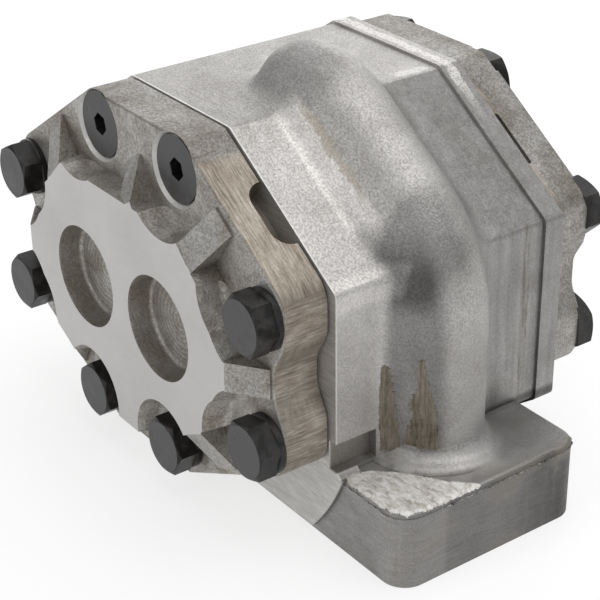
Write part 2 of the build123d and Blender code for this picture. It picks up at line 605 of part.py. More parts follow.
def front_cover():
    cover = along_y(cover_outline(FRONT_SET_IN), FRONT_FACE, 0)
    cover = fillet(cover.edges().group_by(Axis.Y)[0], COVER_EDGE)
    cover = chamfer(cover.edges().group_by(Axis.Y)[-1], COVER_JOINT_EDGE)
    star = extrude(Plane.XZ.offset(-FRONT_FACE) * star_outline(), STAR_HEIGHT, taper=STAR_DRAFT)
    core = along_y(star_outline(), FRONT_FACE - 0.1, FRONT_FACE + 2.0)
    star = star + core
    for x, z in SIDE_BOLTS:
        inner_x = x + SIDE_SCALLOP_SHIFT[0] * (1 if x > 0 else -1)
        inner_z = z + SIDE_SCALLOP_SHIFT[1] * (1 if z > 0 else -1)
        star -= scallop(x, z, SIDE_SCALLOP)
        star -= scallop(inner_x, inner_z, SIDE_SCALLOP_INNER)
    for x, z, radius in TOP_SCALLOPS:
        star -= scallop(x, z, radius)
    for x, z in BOTTOM_BOLTS:
        star -= scallop(x, z, BOTTOM_SCALLOP)
    cover += star
    for piece in front_ribs():
        cover += piece
    for x in (DRIVE_X, IDLER_X):
        floor_radius = RECESS_RADIUS - RECESS_DEPTH * tan(radians(RECESS_DRAFT))
        recess = cone_along_y(x, 0, RECESS_RADIUS, STAR_FACE, floor_radius, STAR_FACE + RECESS_DEPTH)
        recess = fillet(recess.edges().group_by(Axis.Y)[-1], RECESS_FILLET)
        cover -= recess
    for x, z in SIDE_BOLTS + BOTTOM_BOLTS:
        cover -= rod(x, z, BOLT_RADIUS + BOLT_CLEARANCE, FRONT_FACE - 12, 1)
        cover -= rod(x, z, WASHER_RADIUS + 0.6, FRONT_FACE - 12, FRONT_FACE)
    for x, z in TOP_BOLTS:
        cover -= rod(x, z, BOLT_RADIUS + BOLT_CLEARANCE, FRONT_FACE - 1, 1)
        cover -= countersink(x, z)
    for x, z in DOWELS:
        cover -= rod(x, z, DOWEL_RADIUS + DOWEL_GAP, -DOWEL_HALF_LENGTH - 0.3, 0.01)
    for side in (-1, 1):
        cover -= pry_slot(side, 0, -1, PRY_SLOT_LENGTH, PRY_SLOT_WIDTH, 5.6)
    return cover


def countersink(x, z):
    """Seat of a flat-head screw, a little wider and deeper than the head."""
    rim = SUNK_HEAD_RADIUS + 0.4
    top = FRONT_FACE + SUNK_BELOW_FACE + SUNK_RIM
    floor = FRONT_FACE + SUNK_BELOW_FACE + SUNK_HEAD_HEIGHT + 0.05
    shank = BOLT_RADIUS + 0.1
    seat = cone_along_y(x, z, SUNK_HEAD_RADIUS + 0.1, top, shank, floor)
    mouth = cone_along_y(x, z, rim + 1.0, FRONT_FACE - 0.2, SUNK_HEAD_RADIUS + 0.1, top)
    return seat + mouth


def rear_cover():
    cover = along_y(cover_outline(REAR_SET_IN), BODY_LENGTH, REAR_FACE)
    cover = fillet(cover.edges().group_by(Axis.Y)[-1], COVER_EDGE)
    cover += cone_along_y(DRIVE_X, 0, SEAL_BOSS_RADIUS + 2.0, REAR_FACE - 1, SEAL_BOSS_RADIUS, BOSS_FACE)
    cover += cone_along_y(IDLER_X, 0, SEAL_BOSS_RADIUS - 1.0, REAR_FACE - 1, SEAL_BOSS_RADIUS - 3.0, REAR_FACE + 4)
    for x, z in ALL_BOLTS:
        hub_x = DRIVE_X if x > 0 else IDLER_X
        length = hypot(x - hub_x, z)
        run = ((x - hub_x) / length, z / length)
        middle = (hub_x + run[0] * (length - 10) / 2, run[1] * (length - 10) / 2)
        plane = Plane(
            origin=(middle[0], REAR_FACE - 1, middle[1]), x_dir=(run[0], 0, run[1]), z_dir=(0, 1, 0),
        )
        cover += extrude(plane * Rectangle(length - 10, REAR_RIB_WIDTH), REAR_RIB_HEIGHT + 1, taper=6)
    for x, z in ALL_BOLTS:
        cover -= rod(x, z, BOLT_RADIUS + BOLT_CLEARANCE, BODY_LENGTH - 1, REAR_FACE + 1)
        cover -= rod(x, z, HEX_FLATS / sqrt(3) + 1.2, REAR_FACE - REAR_SEAT_DEPTH, REAR_FACE + 10)
    seal_floor = BOSS_FACE - RETAINER_SET_BACK - RETAINER_WIRE - SEAL_WIDTH - 0.2
    cover -= rod(DRIVE_X, 0, JOURNAL_RADIUS + SEAL_BORE_CLEARANCE, BODY_LENGTH - 1, BOSS_FACE + 1)
    cover -= rod(DRIVE_X, 0, SEAL_RADIUS + PRESSED_GAP, seal_floor, BOSS_FACE + 1)
    groove_start = BOSS_FACE - RETAINER_SET_BACK - RETAINER_WIRE
    cover -= rod(DRIVE_X, 0, SEAL_RADIUS + 1.1, groove_start, groove_start + RETAINER_WIRE + 0.1)
    for x, z in DOWELS:
        cover -= rod(x, z, DOWEL_RADIUS + DOWEL_GAP, BODY_LENGTH - 0.01, BODY_LENGTH + DOWEL_HALF_LENGTH + 0.3)
    for side in (-1, 1):
        cover -= pry_slot(side, BODY_LENGTH, 1, REAR_PRY_SLOT_LENGTH, REAR_PRY_SLOT_WIDTH, 0.8)
    return cover


# ---------------------------------------------------------------- shaft seal and its retaining ring
def shaft_seal_places():
    groove_start = BOSS_FACE - RETAINER_SET_BACK - RETAINER_WIRE
    return groove_start - SEAL_WIDTH - 0.1, groove_start - 0.1


def seal_case():
    """Pressed steel case of the lip seal: a cup with an inward flange on the outer side."""
    start, end = shaft_seal_places()
    wall = 1.6
    profile = polygon([
        (SEAL_RADIUS, start), (SEAL_RADIUS, end), (JOURNAL_RADIUS + 2.0, end),
        (JOURNAL_RADIUS + 2.0, end - wall), (SEAL_RADIUS - wall, end - wall), (SEAL_RADIUS - wall, start),
    ])
    return Pos(DRIVE_X, 0, 0) * revolve(profile, Axis.Y)


def seal_lip():
    """Rubber lip moulded inside the case, running on the shaft."""
    start, end = shaft_seal_places()
    inner = JOURNAL_RADIUS + SEAL_LIP_GAP
    wall = 1.62
    profile = polygon([
        (SEAL_RADIUS - wall, start + 0.4), (SEAL_RADIUS - wall, end - wall), (inner + 1.4, end - wall),
        (inner, end - 4.4), (inner + 0.9, end - 5.6), (inner + 1.8, end - 5.4), (inner + 2.0, start + 0.4),
    ])
    return Pos(DRIVE_X, 0, 0) * revolve(profile, Axis.Y)


def seal_retainer():
    """Internal retaining ring with its gap at the top."""
    start = BOSS_FACE - RETAINER_SET_BACK - RETAINER_WIRE + 0.05
    ring = rod(0, 0, SEAL_RADIUS + 1.0, start, start + RETAINER_WIRE - 0.1)
    ring -= rod(0, 0, SEAL_RADIUS - 1.4, start - 1, start + RETAINER_WIRE + 1)
    ring -= Pos(0, start, SEAL_RADIUS) * Box(7.0, 8.0, 6.0)
    for side in (-1, 1):
        ear = rod(side * 5.2, SEAL_RADIUS - 2.4, 2.0, start, start + RETAINER_WIRE - 0.1)
        ear -= rod(side * 5.2, SEAL_RADIUS - 2.4, 0.8, start - 1, start + RETAINER_WIRE + 1)
        ring += ear
    return Pos(DRIVE_X, 0, 0) * ring


# ---------------------------------------------------------------- fasteners, drawn with the seat at y = 0
def hex_bolt(seat_to_thread_end):
    across_corners = HEX_FLATS / cos(radians(30))
    head = along_y(RegularPolygon(across_corners / 2, 6), -HEX_HEIGHT, 0)
    slope = tan(radians(HEX_CHAMFER_ANGLE))
    top_radius = HEX_FLATS / 2 * 0.97
    depth = (across_corners / 2 + 1 - top_radius) * slope
    head &= cone_along_y(0, 0, top_radius, -HEX_HEIGHT, across_corners / 2 + 1, -HEX_HEIGHT + depth) + rod(
        0, 0, across_corners / 2 + 1, -HEX_HEIGHT + depth - 0.001, 0
    )
    shank = rod(0, 0, BOLT_RADIUS, -0.5, seat_to_thread_end)
    shank = chamfer(shank.edges().group_by(Axis.Y)[-1], 1.0)
    return head + shank


def washer():
    ring = Circle(WASHER_RADIUS) - Circle(BOLT_RADIUS + 0.25)
    plate = along_y(ring, 0, WASHER_THICKNESS)
    return chamfer(plate.edges().filter_by(GeomType.CIRCLE).group_by(SortBy.RADIUS)[-1], 0.3)


def sunk_screw():
    """Flat-head socket screw; y = 0 is the top of its head."""
    end = FRONT_THICKNESS - SUNK_BELOW_FACE + BOLT_GRIP_DEPTH
    head = rod(0, 0, SUNK_HEAD_RADIUS, 0, SUNK_RIM)
    head += cone_along_y(0, 0, SUNK_HEAD_RADIUS, SUNK_RIM, BOLT_RADIUS, SUNK_HEAD_HEIGHT)
    shank = rod(0, 0, BOLT_RADIUS, SUNK_HEAD_HEIGHT - 0.5, end)
    shank = chamfer(shank.edges().group_by(Axis.Y)[-1], 1.0)
    socket_radius = SOCKET_FLATS / 2 / cos(radians(30))
    socket = along_y(RegularPolygon(socket_radius, 6), -1, SOCKET_DEPTH)
    socket += cone_along_y(0, 0, socket_radius, SOCKET_DEPTH - 0.01, 0.1, SOCKET_DEPTH + 1.4)
    return head + shank - socket


def front_bolts():
    bolt = hex_bolt(WASHER_THICKNESS + FRONT_THICKNESS + BOLT_GRIP_DEPTH)
    turns = (12, 31, 47, 5, 22, 0)
    places = SIDE_BOLTS + BOTTOM_BOLTS
    return [
        Pos(x, FRONT_FACE - WASHER_THICKNESS, z) * Rot(0, turn, 0) * bolt
        for (x, z), turn in zip(places, turns)
    ]


def front_washers():
    return [Pos(x, FRONT_FACE - WASHER_THICKNESS, z) * washer() for x, z in SIDE_BOLTS + BOTTOM_BOLTS]


def front_sunk_screws():
    return [Pos(x, FRONT_FACE + SUNK_BELOW_FACE, z) * Rot(0, 14, 0) * sunk_screw() for x, z in TOP_BOLTS]


def rear_bolts():
    bolt = Rot(0, 0, 180) * hex_bolt(REAR_THICKNESS - REAR_SEAT_DEPTH + BOLT_GRIP_DEPTH)
    turns = (8, 40, 27, 16, 51, 3, 34, 20)
    seat = REAR_FACE - REAR_SEAT_DEPTH
    return [Pos(x, seat, z) * Rot(0, turn, 0) * bolt for (x, z), turn in zip(ALL_BOLTS, turns)]


def dowels(joint):
    pin = rod(0, 0, DOWEL_RADIUS, -DOWEL_HALF_LENGTH, DOWEL_HALF_LENGTH)
    pin = chamfer(pin.edges().filter_by(GeomType.CIRCLE), 0.5)
    return [Pos(x, joint, z) * pin for x, z in DOWELS]


# ---------------------------------------------------------------- every node
def all_nodes():
    suction, pressure = port_rings()
    return {
        "pump_body": pump_body(),
        "front_cover": front_cover(),
        "rear_cover": rear_cover(),
        "drive_gear_shaft": drive_gear_shaft(),
        "idler_gear_shaft": idler_gear_shaft(),
        "front_bearing_block": bearing_block(-1),
        "rear_bearing_block": bearing_block(1),
        "front_drive_bush": bush(DRIVE_X, -1),
        "front_idler_bush": bush(IDLER_X, -1),
        "rear_drive_bush": bush(DRIVE_X, 1),
        "rear_idler_bush": bush(IDLER_X, 1),
        "front_block_seal": block_seal(-1),
        "rear_block_seal": block_seal(1),
        "front_face_seal": face_seal(0, 1),
        "rear_face_seal": face_seal(BODY_LENGTH, -1),
        "suction_port_seal": port_seal(*suction),
        "pressure_port_seal": port_seal(*pressure),
        "shaft_seal_case": seal_case(),
        "shaft_seal_lip": seal_lip(),
        "seal_retaining_ring": seal_retainer(),
        "front_hex_bolts": front_bolts(),
        "front_washers": front_washers(),
        "front_countersunk_screws": front_sunk_screws(),
        "rear_hex_bolts": rear_bolts(),
        "front_dowel_pins": dowels(0),
        "rear_dowel_pins": dowels(BODY_LENGTH),
    }


os.makedirs("parts", exist_ok=True)
for name, shape in all_nodes().items():
    solids = shape if isinstance(shape, list) else shape.solids()
    placed = [TO_MOUNTING_FACE * solid for solid in solids]
    export_step(placed[0] if len(placed) == 1 else Compound(children=placed), "parts/" + name + ".step")
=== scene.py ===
import bpy
from math import atan2, pi, radians, sin
from mathutils import Matrix, Vector


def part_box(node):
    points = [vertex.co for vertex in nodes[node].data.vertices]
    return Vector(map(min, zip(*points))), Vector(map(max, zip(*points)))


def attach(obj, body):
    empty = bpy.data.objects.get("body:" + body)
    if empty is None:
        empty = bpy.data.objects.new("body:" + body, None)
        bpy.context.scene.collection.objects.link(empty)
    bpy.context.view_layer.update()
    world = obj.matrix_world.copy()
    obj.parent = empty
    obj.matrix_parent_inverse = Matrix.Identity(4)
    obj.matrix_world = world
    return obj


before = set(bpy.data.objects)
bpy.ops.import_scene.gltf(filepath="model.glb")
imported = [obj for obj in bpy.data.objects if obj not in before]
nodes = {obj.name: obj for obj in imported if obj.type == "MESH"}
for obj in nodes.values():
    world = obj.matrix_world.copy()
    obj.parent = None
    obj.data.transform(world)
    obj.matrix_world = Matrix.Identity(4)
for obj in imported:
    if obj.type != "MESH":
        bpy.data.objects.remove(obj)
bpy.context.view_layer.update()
scene = bpy.context.scene


# ------------------------------------------------------------------ studio floor, lamps and camera
# A white sheet under the pump, a large soft box overhead and towards the back, a second one low
# behind its left side and a weak one in front.  The camera looks down on the front right corner.
FLOOR_SIZE = 6.0
FLOOR_DROP = 0.0002
FLOOR_COLOUR = (0.93, 0.93, 0.93, 1.0)
FLOOR_GLOW = 1.10
FLOOR_GLOW_SHARE = 0.66
WORLD_STRENGTH = 0.46
CAMERA_PLACE = (0.3554, -0.27295, 0.2913)
CAMERA_RIGHT = (0.59206, 0.80582, -0.01093)
CAMERA_UP = (-0.37561, 0.28792, 0.88091)
CAMERA_BACK = (0.71300, -0.51744, 0.47315)
CAMERA_LENS = 102.18
# Each lamp has its name, its place, the point it faces, its width in metres and its watts.
LAMPS = [
    ("overhead_box", (0.22, 0.42, 1.30), (0.0, 0.0, 0.06), 1.5, 9.5),
    ("back_box", (-1.25, 0.95, 0.75), (0.0, 0.0, 0.06), 1.5, 10.5),
    ("front_box", (-0.1, -1.4, 0.95), (0.0, 0.0, 0.06), 1.0, 4.6),
]


class Wire:
    """One output of a finish's nodes.  Arithmetic on it adds the Math nodes it needs."""

    def __init__(self, tree, socket=None):
        self.tree = tree
        self.socket = socket

    def node(self, kind, settings, inputs, out=0):
        made = self.tree.nodes.new("ShaderNode" + kind)
        for name, value in settings.items():
            if name == "stops":
                stops = made.color_ramp.elements
                while len(stops) < len(value):
                    stops.new(0.5)
                for stop, (place, colour) in zip(stops, value):
                    stop.position = place
                    stop.color = (*colour, 1.0)
            else:
                setattr(made, name, value)
        for name, value in inputs.items():
            if isinstance(value, Wire):
                self.tree.links.new(value.socket, made.inputs[name])
            else:
                made.inputs[name].default_value = value
        return Wire(self.tree, made.outputs[out])

    def math(self, operation, first, second=0.0):
        return self.node("Math", {"operation": operation}, {0: first, 1: second})

    def __add__(self, other):
        return self.math("ADD", self, other)

    __radd__ = __add__

    def __sub__(self, other):
        return self.math("SUBTRACT", self, other)

    def __rsub__(self, other):
        return self.math("SUBTRACT", other, self)

    def __mul__(self, other):
        return self.math("MULTIPLY", self, other)

    __rmul__ = __mul__

    def __truediv__(self, other):
        return self.math("DIVIDE", self, other)


def new_finish(name):
    """A material with an empty Principled shader, and a wire to start its nodes from."""
    material = bpy.data.materials.new(name)
    material.use_nodes = True
    tree = material.node_tree
    tree.nodes.clear()
    shader = tree.nodes.new("ShaderNodeBsdfPrincipled")
    output = tree.nodes.new("ShaderNodeOutputMaterial")
    tree.links.new(shader.outputs[0], output.inputs[0])
    return material, shader, Wire(tree)


def feed(shader, name, wire):
    wire.tree.links.new(wire.socket, shader.inputs[name])


bpy.ops.mesh.primitive_plane_add(size=FLOOR_SIZE, location=(0, 0, -FLOOR_DROP))
floor = bpy.context.object
floor.name = "studio_floor"
floor_paint, floor_shader, start = new_finish("studio_floor_paint")
floor_shader.inputs["Base Color"].default_value = FLOOR_COLOUR
floor_shader.inputs["Roughness"].default_value = 0.9
floor_shader.inputs["Specular IOR Level"].default_value = 0.1
rays = [
    start.node("LightPath", {}, {}, ray)
    for ray in ("Is Camera Ray", "Is Glossy Ray", "Is Transmission Ray")
]
seen = rays[0].math("MAXIMUM", rays[0], rays[1].math("MAXIMUM", rays[1], rays[2]))
glow = start.node("Emission", {}, {"Color": (1.0, 1.0, 1.0, 1.0), "Strength": FLOOR_GLOW})
plain = Wire(start.tree, floor_shader.outputs[0])
sheet = start.node("MixShader", {}, {0: seen * FLOOR_GLOW_SHARE, 1: plain, 2: glow})
sheet.tree.links.new(sheet.socket, sheet.tree.nodes["Material Output"].inputs[0])
floor.data.materials.append(floor_paint)

world = bpy.data.worlds.new("studio_world")
world.use_nodes = True
scene.world = world
world.node_tree.nodes["Background"].inputs["Color"].default_value = (1.0, 1.0, 1.0, 1.0)
world.node_tree.nodes["Background"].inputs["Strength"].default_value = WORLD_STRENGTH

for name, place, target, size, watts in LAMPS:
    lamp = bpy.data.lights.new(name, "AREA")
    lamp.size = size
    lamp.energy = watts
    holder = bpy.data.objects.new(name, lamp)
    holder.location = place
    holder.rotation_euler = (Vector(place) - Vector(target)).to_track_quat("Z", "Y").to_euler()
    scene.collection.objects.link(holder)

camera = bpy.data.cameras.new("studio_camera")
camera.lens = CAMERA_LENS
camera.sensor_width = 36.0
camera.clip_start = 0.01
camera_object = bpy.data.objects.new("studio_camera", camera)
turn = Matrix((CAMERA_RIGHT, CAMERA_UP, CAMERA_BACK)).transposed().to_4x4()
camera_object.matrix_world = Matrix.Translation(CAMERA_PLACE) @ turn
scene.collection.objects.link(camera_object)
scene.camera = camera_object
scene.view_settings.view_transform = "Standard"


# ------------------------------------------------------------------ pump body casting
# The body is one sand casting in a bare aluminium alloy, and every other piece goes in it or on it.
# Its skin is blasted bright at the front and on the high places, and is duller behind, on the foot
# and in the side pocket; its colour also carries painted highlights on faces turned to the light and
# painted shade on faces turned away.  Only the joint faces and the foot's underside are milled.
MILLIMETRE = 0.001
body_low, body_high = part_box("pump_body")
FRONT_JOINT = body_low.y
FOOT_END = body_high.x
FOOT_TOP = 0.0243
BODY_SIDE = 0.0430
RIDGE_HALF = 0.0160
# From the front to the rear, the blasted skin gives out between these two places.
BLAST_END = (0.004, 0.024)

# Soft edges on the body: a mark has not begun at the first place and is full at the second.
RIDGE_FRONT_X = (0.024, 0.036)
RIDGE_FRONT_Y = (-0.024, -0.019)
RIDGE_FRONT_Z = (0.096, 0.080)
LOW_ON_SIDE = (0.072, 0.036)
FRONT_OF_SHOULDER = (0.012, -0.010)
FRONT_OF_SLOPE = (-0.010, -0.019)
FRONT_OF_TOP = (0.012, -0.016)
TOP_OF_VALLEY = (0.088, 0.094)
TOP_OF_SCAR = (0.096, 0.099)
REAR_OF_FACET = (0.014, 0.028)

# Marks on the skin, painted highlights and painted shade among them: the middle and the half-size of
# each along its axes, and how softly it fades.
FRONT_SIDE = ((-0.026, 1.0), (0.0075, 0.35), 0.35)
SHOULDER = ((BODY_SIDE, 0.0800), (0.0022, 0.0032), 0.9)
SHADED_BEND = ((0.0450, -0.0080, 0.0880), (0.0060, 0.0080, 0.0110), 0.7)
SHADED_CROWN = ((-0.0110, -0.0070, 0.1230), (0.0120, 0.0065, 0.0060), 0.6)
VALLEY = ((-0.0168, 0.016), (0.0028, 0.016), 0.5)
REAR_FACET = ((0.557,), (0.10,), 0.5)
POCKET = ((-0.0272, 0.0300, 0.0400), (0.0082, 0.0066, 0.0026), 0.10)
RIDGE_ROOT = ((0.047, -0.010, 0.0262), (0.016, 0.014, 0.0020), 0.5)
TAN_SCAR = ((0.0140, -0.0137), (0.0105, 0.0005), 0.6)
WORN_EDGE = ((0.0431, -0.031, 1.0), (0.0011, 0.026, 0.2), 0.8)
WORN_PATCH = ((-0.0076, 0.0318), (0.0014, 0.0048), 0.6)
SCUFF = ((-0.018, -0.0265), (0.016, 0.0055), 0.25)
DIRT_BAND = ((0.0340,), (0.0011,), 0.5)

CAST_DARK = (0.42, 0.405, 0.385)
CAST_MID = (0.530, 0.515, 0.500)
CAST_LIGHT = (0.630, 0.615, 0.600)
GRIME = (0.155, 0.135, 0.108)
OIL_BROWN = (0.235, 0.215, 0.185)
SCAR_TAN = (0.430, 0.380, 0.300)
SCUFF_GREY = (0.26, 0.25, 0.235)
RUBBED_METAL = (0.74, 0.72, 0.70)
LIP_HIGHLIGHT = (0.76, 0.75, 0.73)
MILLED_DARK = (0.42, 0.41, 0.395)
MILLED_LIGHT = (0.60, 0.59, 0.575)


def on_pump(start):
    """The point on the pump, in metres."""
    return start.node("TexCoord", {}, {}, "Object")


def facing(start):
    """The direction that the surface faces."""
    return start.node("TexCoord", {}, {}, "Normal")


def parts_of(wire):
    """The x, y and z of a point or a direction."""
    return [wire.node("SeparateXYZ", {}, {0: wire}, axis) for axis in "XYZ"]


def noise(point, size, detail=2.0, roughness=0.5, distortion=0.0, stretch=(1.0, 1.0, 1.0)):
    """Clouds whose blotches are about size metres across, drawn out along an axis by stretch."""
    scaled = point.node("Mapping", {}, {0: point, 3: tuple(1.0 / part for part in stretch)})
    inputs = {"Vector": scaled, "Scale": 1.0 / size, "Detail": detail, "Roughness": roughness}
    return point.node("TexNoise", {}, {**inputs, "Distortion": distortion})


def ease(wire, low, high):
    """0 below low, 1 above high, and smooth in between; with low above high it falls."""
    settings = {"interpolation_type": "SMOOTHSTEP"}
    return wire.node("MapRange", settings, {"Value": wire, "From Min": low, "From Max": high})


def ramp(wire, *stops):
    return wire.node("ValToRGB", {"stops": stops}, {0: wire})


def blend(factor, first, second):
    """Colour first where factor is 0 and second where it is 1."""
    colours = [value if isinstance(value, Wire) else (*value, 1.0) for value in (first, second)]
    return factor.node("Mix", {"data_type": "RGBA"}, {0: factor, 6: colours[0], 7: colours[1]}, 2)


def shade(colour, factor):
    """The colour made darker or lighter by a factor that changes over the surface."""
    grey = factor.node("CombineColor", {}, {0: factor, 1: factor, 2: factor})
    settings = {"data_type": "RGBA", "blend_type": "MULTIPLY"}
    return factor.node("Mix", settings, {0: 1.0, 6: colour, 7: grey}, 2)


def emboss(shader, height, depth, strength):
    """Relief on the surface: height is a pattern from 0 to 1, and depth is in metres."""
    inputs = {"Strength": strength, "Distance": depth, "Height": height}
    feed(shader, "Normal", height.node("Bump", {}, inputs))


def coat(piece, finish):
    piece.data.materials.clear()
    piece.data.materials.append(finish)


def near(parts, centre, reach, soft=0.5):
    """1 inside a box of half-sizes reach about centre, fading outside it over soft of its size."""
    total = 1.0
    for part, middle, half in zip(parts, centre, reach):
        away = part.math("ABSOLUTE", part - middle) / half
        total = ease(away, 1.0 + soft, 1.0) * total
    return total


cast_skin, cast_shader, start = new_finish("cast_aluminium_body")
point = on_pump(start)
x, y, z = parts_of(point)
nx, ny, nz = parts_of(facing(start))
grain = noise(point, 0.60 * MILLIMETRE, 3.0, 0.65)
wrinkle = noise(point, 1.5 * MILLIMETRE, 3.0, 0.6, 1.4)
cloud = noise(point, 13 * MILLIMETRE, 5.0, 0.6, 0.5)
smear = noise(point, 42 * MILLIMETRE, 4.0, 0.55, 1.0)
streak_down = noise(point, 2.6 * MILLIMETRE, 4.0, 0.6, 0.3, (1.0, 1.0, 14.0))
streak_along = noise(point, 1.4 * MILLIMETRE, 4.0, 0.6, 0.5, (7.0, 7.0, 1.0))
tone = cloud * 0.5 + smear * 0.5
skin = ramp(tone, (0.34, CAST_DARK), (0.50, CAST_MID), (0.66, CAST_LIGHT))
speckle = ease(grain, 0.38, 0.62)
crinkle = ease(wrinkle, 0.40, 0.50)

# Where the skin is brighter or duller than the rest: the foot and the rear are duller skin, and the
# rest of this list is painted highlight and painted shade.
on_foot = ease(z, FOOT_TOP + 0.0025, FOOT_TOP + 0.0003) * ease(z, -0.001, 0.0)
behind = ease(y + (smear - 0.5) * 0.02, *BLAST_END) * ease(nx, 0.2, 0.5)
ridge_front = ease(x, *RIDGE_FRONT_X) * ease(y, *RIDGE_FRONT_Y) * ease(z, *RIDGE_FRONT_Z)
shaded_flank = ease(ny, -0.30, -0.62) * ridge_front
front_side_highlight = near([y, nx], *FRONT_SIDE)
shaded_low_side = ease(z, *LOW_ON_SIDE) * ease(nx, 0.4, 0.8)
shoulder_highlight = near([x, z], *SHOULDER) * ease(y, *FRONT_OF_SHOULDER)
on_ridge = ease(y.math("ABSOLUTE", y), RIDGE_HALF, RIDGE_HALF / 2)
crest_highlight = ease(nz, 0.62, 0.80) * ease(nx, 0.30, 0.48) * on_ridge
slope_highlight = ease(y, *FRONT_OF_SLOPE) * ease(nx, 0.40, 0.50) * ease(nz, 0.70, 0.80)
shaded_top = ease(nz, 0.90, 0.97) * ease(y, *FRONT_OF_TOP) * (1.0 - on_foot)
brightness = 1.0
for place, change in (
    (on_foot, -0.40),
    (behind, -0.36),
    # Painted shade: the ridge's front face below its top and the lower part of the side are darkened.
    (shaded_flank, -0.44),
    (shaded_low_side * (1.0 - behind), -0.18),
    # Painted highlights: the front of the side, the corner above it, the top of the ridge, the slope
    # and the valley beside the ridge are lightened.
    (front_side_highlight, 0.12),
    (shoulder_highlight, 0.28),
    (crest_highlight, 0.10),
    (slope_highlight, 0.18),
    (near([y, x], *VALLEY) * ease(z, *TOP_OF_VALLEY), 0.50),
    # Painted shade: the bend of the ridge, its top at the front and the flat top are darkened; the
    # rear of the facet is darker too.
    (near([x, y, z], *SHADED_BEND), -0.30),
    (near([x, y, z], *SHADED_CROWN), -0.20),
    (shaded_top, -0.16),
    (near([nx], *REAR_FACET) * ease(y, *REAR_OF_FACET), -0.14),
):
    brightness = place * change + brightness
blasted = ease(nz, -0.2, 0.3) * (1.0 - on_foot) * (1.0 - behind * 0.7)
pepper = (1.0 - speckle) * (0.08 + 0.15 * blasted) + (1.0 - crinkle) * blasted * 0.10
streaks = behind * (streak_down - 0.5) * 0.7 + on_foot * (streak_along - 0.5) * 0.55
skin = shade(skin, brightness * (1.0 - pepper) * (1.0 + streaks))

# Oil film, grime low in the side pocket, and a painted highlight on the upward faces round the root
# of the ridge.
oil = ease(smear * 0.6 + cloud * 0.4, 0.54, 0.66) * (on_foot * 0.5 + behind * 0.4 + 0.12)
skin = blend(oil, skin, OIL_BROWN)
pocket = near([y, z, x], *POCKET) * ease(nx + nz * 0.2, 1.30, 1.00)
skin = blend(pocket * 0.45, skin, GRIME)
# Painted highlight: the upward faces round the ridge's root are lightened in blotches.
root = near([x, y, z], *RIDGE_ROOT) * ease(nz, 0.15, 0.55)
skin = blend(root * ease(cloud, 0.35, 0.60) * 0.5, skin, CAST_LIGHT)

# A tan scar beside the ridge, rubbed edges at the rear joint, and scuffs on the flat top.
wander = noise(point, 4 * MILLIMETRE, 3.0, 0.6) - 0.5
tan_scar = near([x, y + wander * 0.003], *TAN_SCAR) * ease(z, *TOP_OF_SCAR)
skin = blend(tan_scar * 0.55, skin, SCAR_TAN)
worn = near([y + wander * 0.004, x, nz], *WORN_EDGE)
worn_patch = near([x + wander * 0.004, y], *WORN_PATCH) * ease(nz, 0.8, 0.95)
skin = blend((worn + worn_patch * 0.9) * ease(grain, 0.30, 0.50) * 0.75, skin, RUBBED_METAL)
scuff_lines = noise(point, 0.7 * MILLIMETRE, 3.0, 0.6, 0.0, (9.0, 1.0, 9.0))
scuff = near([x, y], *SCUFF) * ease(nz, 0.8, 0.95) * ease(scuff_lines, 0.50, 0.60)
skin = blend(scuff * 0.45, skin, SCUFF_GREY)

# A broken line of dirt along the parting groove at the rear, and a painted highlight along the lip of
# the front joint.
dash = noise(point, 3.4 * MILLIMETRE, 3.0, 0.6, 0.0, (1.0, 0.35, 3.0))
band = near([y + wander * 0.002], *DIRT_BAND) * ease(nx, 0.5, 0.8)
skin = blend(band * (0.16 + 0.45 * ease(dash, 0.54, 0.60)), skin, GRIME)
# Painted highlight: a thin light line along the edge of the front joint.
lip = ease(y, FRONT_JOINT + 0.00075, FRONT_JOINT + 0.00025) * ease(ny, -0.90, -0.60)
skin = blend(lip * 0.8, skin, LIP_HIGHLIGHT)

# Milled faces: the front joint and the underside of the foot.
faced = ease(ny, -0.90, -0.985) * ease(y, FRONT_JOINT + 0.00125, FRONT_JOINT + 0.00055)
faced = faced.math("MAXIMUM", faced, ease(nz, -0.90, -0.985) * ease(z, 0.0012, 0.0006))
faced_marks = noise(point, 0.7 * MILLIMETRE, 2.0, 0.5, 0.0, (7.0, 1.0, 1.0))
skin = blend(faced, skin, ramp(faced_marks, (0.25, MILLED_DARK), (0.8, MILLED_LIGHT)))
feed(cast_shader, "Base Color", skin)
cast_shader.inputs["Metallic"].default_value = 0.80
feed(cast_shader, "Roughness", 0.50 + 0.14 * (1.0 - speckle) - 0.10 * faced - 0.08 * behind)
relief = grain * 0.42 + wrinkle * 0.45 * (0.3 + 0.7 * blasted) + cloud * 1.2
relief = relief * (1.0 - faced * 0.95) + streak_down * behind * 0.5 + streak_along * on_foot * 0.5
relief = relief - pocket * grain * 0.6
emboss(cast_shader, relief, 0.40 * MILLIMETRE, 0.62)
coat(nodes["pump_body"], cast_skin)


# ------------------------------------------------------------------ torn gate stubs and broken skin
# Three places where the casting kept metal that was broken off or filed down: two gates beside the
# foot of the ridge, left brown and fibrous, and a patch of bright torn skin on the foot's corner.
GRID_CELL = 0.36 * MILLIMETRE
CLEAR_OF_SIDE = 0.075
CLEAR_OF_FOOT = 0.045
EDGE_WANDER = 0.45 * GRID_CELL
TEAR_SIZE = 1.1 * MILLIMETRE
TEAR_ROOT = 0.9 * MILLIMETRE
GATE_LIFT = 0.25 * MILLIMETRE
FRONT_GATE_ROUGH = 0.45 * MILLIMETRE
REAR_GATE_ROUGH = 0.60 * MILLIMETRE
CORNER_LIFT = 0.30 * MILLIMETRE
CORNER_ROUGH = 0.50 * MILLIMETRE

